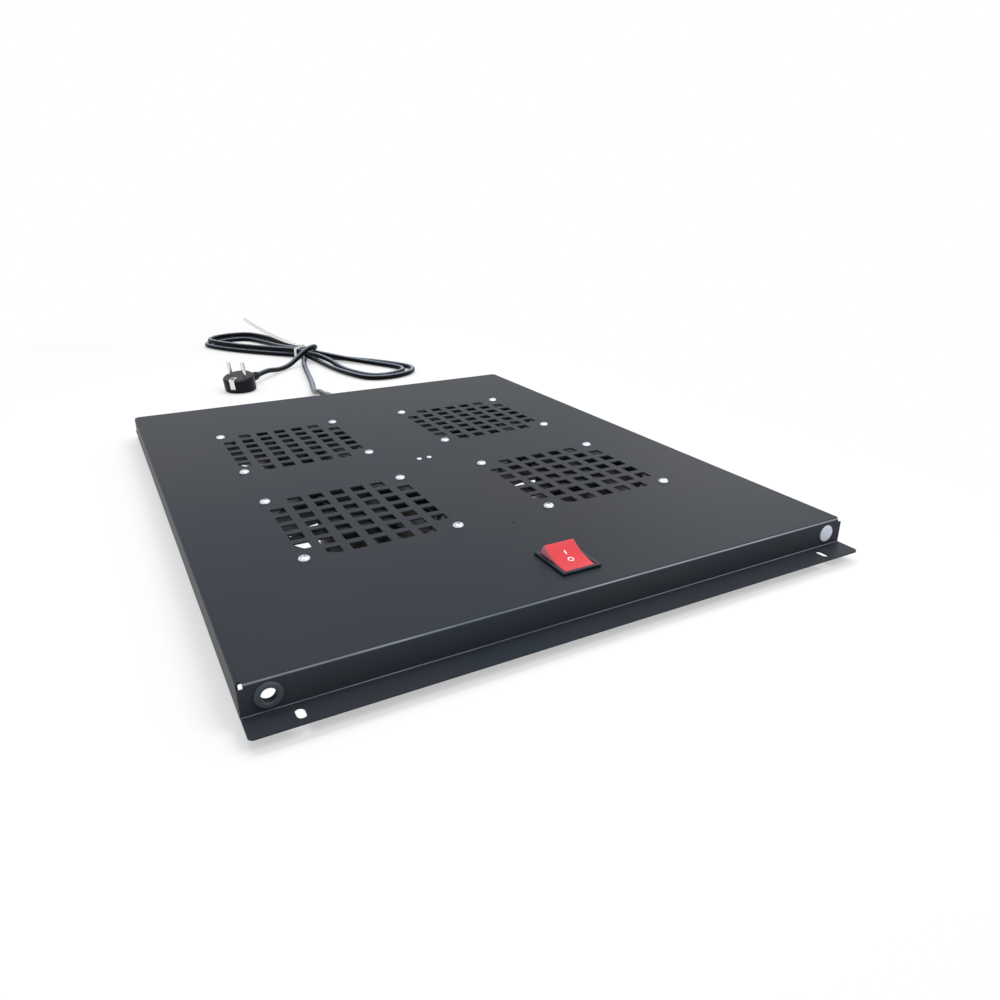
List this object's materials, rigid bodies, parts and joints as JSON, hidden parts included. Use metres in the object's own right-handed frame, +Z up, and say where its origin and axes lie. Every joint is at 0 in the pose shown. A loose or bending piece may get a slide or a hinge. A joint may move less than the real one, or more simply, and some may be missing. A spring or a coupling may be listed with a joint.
{
  "type": "rack fan tray",
  "caption": "Folded steel rack tray with square-hole grilles over round fans, a lit rocker switch, slotted mounting flanges and a mains lead with plug.",
  "frame": {"origin": "under the middle of the tray, in the plane the fan frames stand on", "axes": "+Z up, +Y to the rear wall where the cord leaves, +X to the right seen from the front"},
  "size_m": [0.408, 1.0622, 0.0523],
  "materials": {
    "tray_paint": "semi-gloss paint",
    "grommet_rubber": "matt",
    "hole_plug_plastic": "matt",
    "fan_plastic": "fine texture",
    "rotor_plastic": "matt",
    "core_steel": "stacked laminations",
    "coil_copper": "enamelled copper wire",
    "bearing_steel": "ground",
    "cage_steel": "turned",
    "screw_steel": "zinc plated",
    "switch_plastic": "satin",
    "rocker_plastic": "gloss",
    "tab_brass": "tinned",
    "block_plastic": "matt",
    "lead_plastic": "satin",
    "core_plastic": "satin, one colour to each core",
    "cord_plastic": "satin",
    "plug_plastic": "satin",
    "pin_nickel": "nickel plated",
    "tie_nylon": "satin"
  },
  "bodies": {
    "tray": {"tray_panel": "tray_paint", "cable_grommet": "grommet_rubber", "hole_plug": "hole_plug_plastic", "fan_screws": "screw_steel", "fan_nuts": "screw_steel", "switch_housing": "switch_plastic", "switch_terminals": "tab_brass", "terminal_block": "block_plastic", "terminal_clamps": "tab_brass", "clamp_screws": "screw_steel", "block_screws": "screw_steel", "block_nuts": "screw_steel", "earth_stud": "screw_steel", "earth_terminal": "tab_brass", "earth_nut": "screw_steel", "mains_sheath": "cord_plastic", "mains_cores": "core_plastic", "switch_wire": "core_plastic", "cord_bush": "cord_plastic", "mains_cord": "cord_plastic", "plug_cord": "cord_plastic", "cord_hank": "cord_plastic", "cable_tie": "tie_nylon", "mains_plug_body": "plug_plastic", "mains_plug_pins": "pin_nickel", "plug_earth_clips": "pin_nickel", "fan_frame_front_left": "fan_plastic", "stator_core_front_left": "core_steel", "stator_coils_front_left": "coil_copper", "fan_bearings_front_left": "bearing_steel", "fan_lead_front_left": "lead_plastic", "fan_frame_front_right": "fan_plastic", "stator_core_front_right": "core_steel", "stator_coils_front_right": "coil_copper", "fan_bearings_front_right": "bearing_steel", "fan_lead_front_right": "lead_plastic", "fan_frame_rear_left": "fan_plastic", "stator_core_rear_left": "core_steel", "stator_coils_rear_left": "coil_copper", "fan_bearings_rear_left": "bearing_steel", "fan_lead_rear_left": "lead_plastic", "fan_frame_rear_right": "fan_plastic", "stator_core_rear_right": "core_steel", "stator_coils_rear_right": "coil_copper", "fan_bearings_rear_right": "bearing_steel", "fan_lead_rear_right": "lead_plastic"},
    "rocker": {"switch_rocker": "rocker_plastic"},
    "rotor_front_left": {"fan_rotor_front_left": "rotor_plastic", "rotor_cage_front_left": "cage_steel", "fan_shaft_front_left": "bearing_steel"},
    "rotor_front_right": {"fan_rotor_front_right": "rotor_plastic", "rotor_cage_front_right": "cage_steel", "fan_shaft_front_right": "bearing_steel"},
    "rotor_rear_left": {"fan_rotor_rear_left": "rotor_plastic", "rotor_cage_rear_left": "cage_steel", "fan_shaft_rear_left": "bearing_steel"},
    "rotor_rear_right": {"fan_rotor_rear_right": "rotor_plastic", "rotor_cage_rear_right": "cage_steel", "fan_shaft_rear_right": "bearing_steel"}
  },
  "joints": [
    {"name": "rotor_front_left_spin", "type": "hinge", "parent": "tray", "child": "rotor_front_left", "pos_m": [-0.0885, -0.0885, 0.01], "axis": [0, 0, 1], "continuous": true},
    {"name": "rotor_front_right_spin", "type": "hinge", "parent": "tray", "child": "rotor_front_right", "pos_m": [0.0885, -0.0885, 0.01], "axis": [0, 0, 1], "continuous": true},
    {"name": "rotor_rear_left_spin", "type": "hinge", "parent": "tray", "child": "rotor_rear_left", "pos_m": [-0.0885, 0.0885, 0.01], "axis": [0, 0, 1], "continuous": true},
    {"name": "rotor_rear_right_spin", "type": "hinge", "parent": "tray", "child": "rotor_rear_right", "pos_m": [0.0885, 0.0885, 0.01], "axis": [0, 0, 1], "continuous": true},
    {"name": "rocker_tilt", "type": "hinge", "parent": "tray", "child": "rocker", "pos_m": [0, -0.22, 0.0241], "axis": [-1, 0, 0], "range_deg": [0, 32.8]}
  ]
}
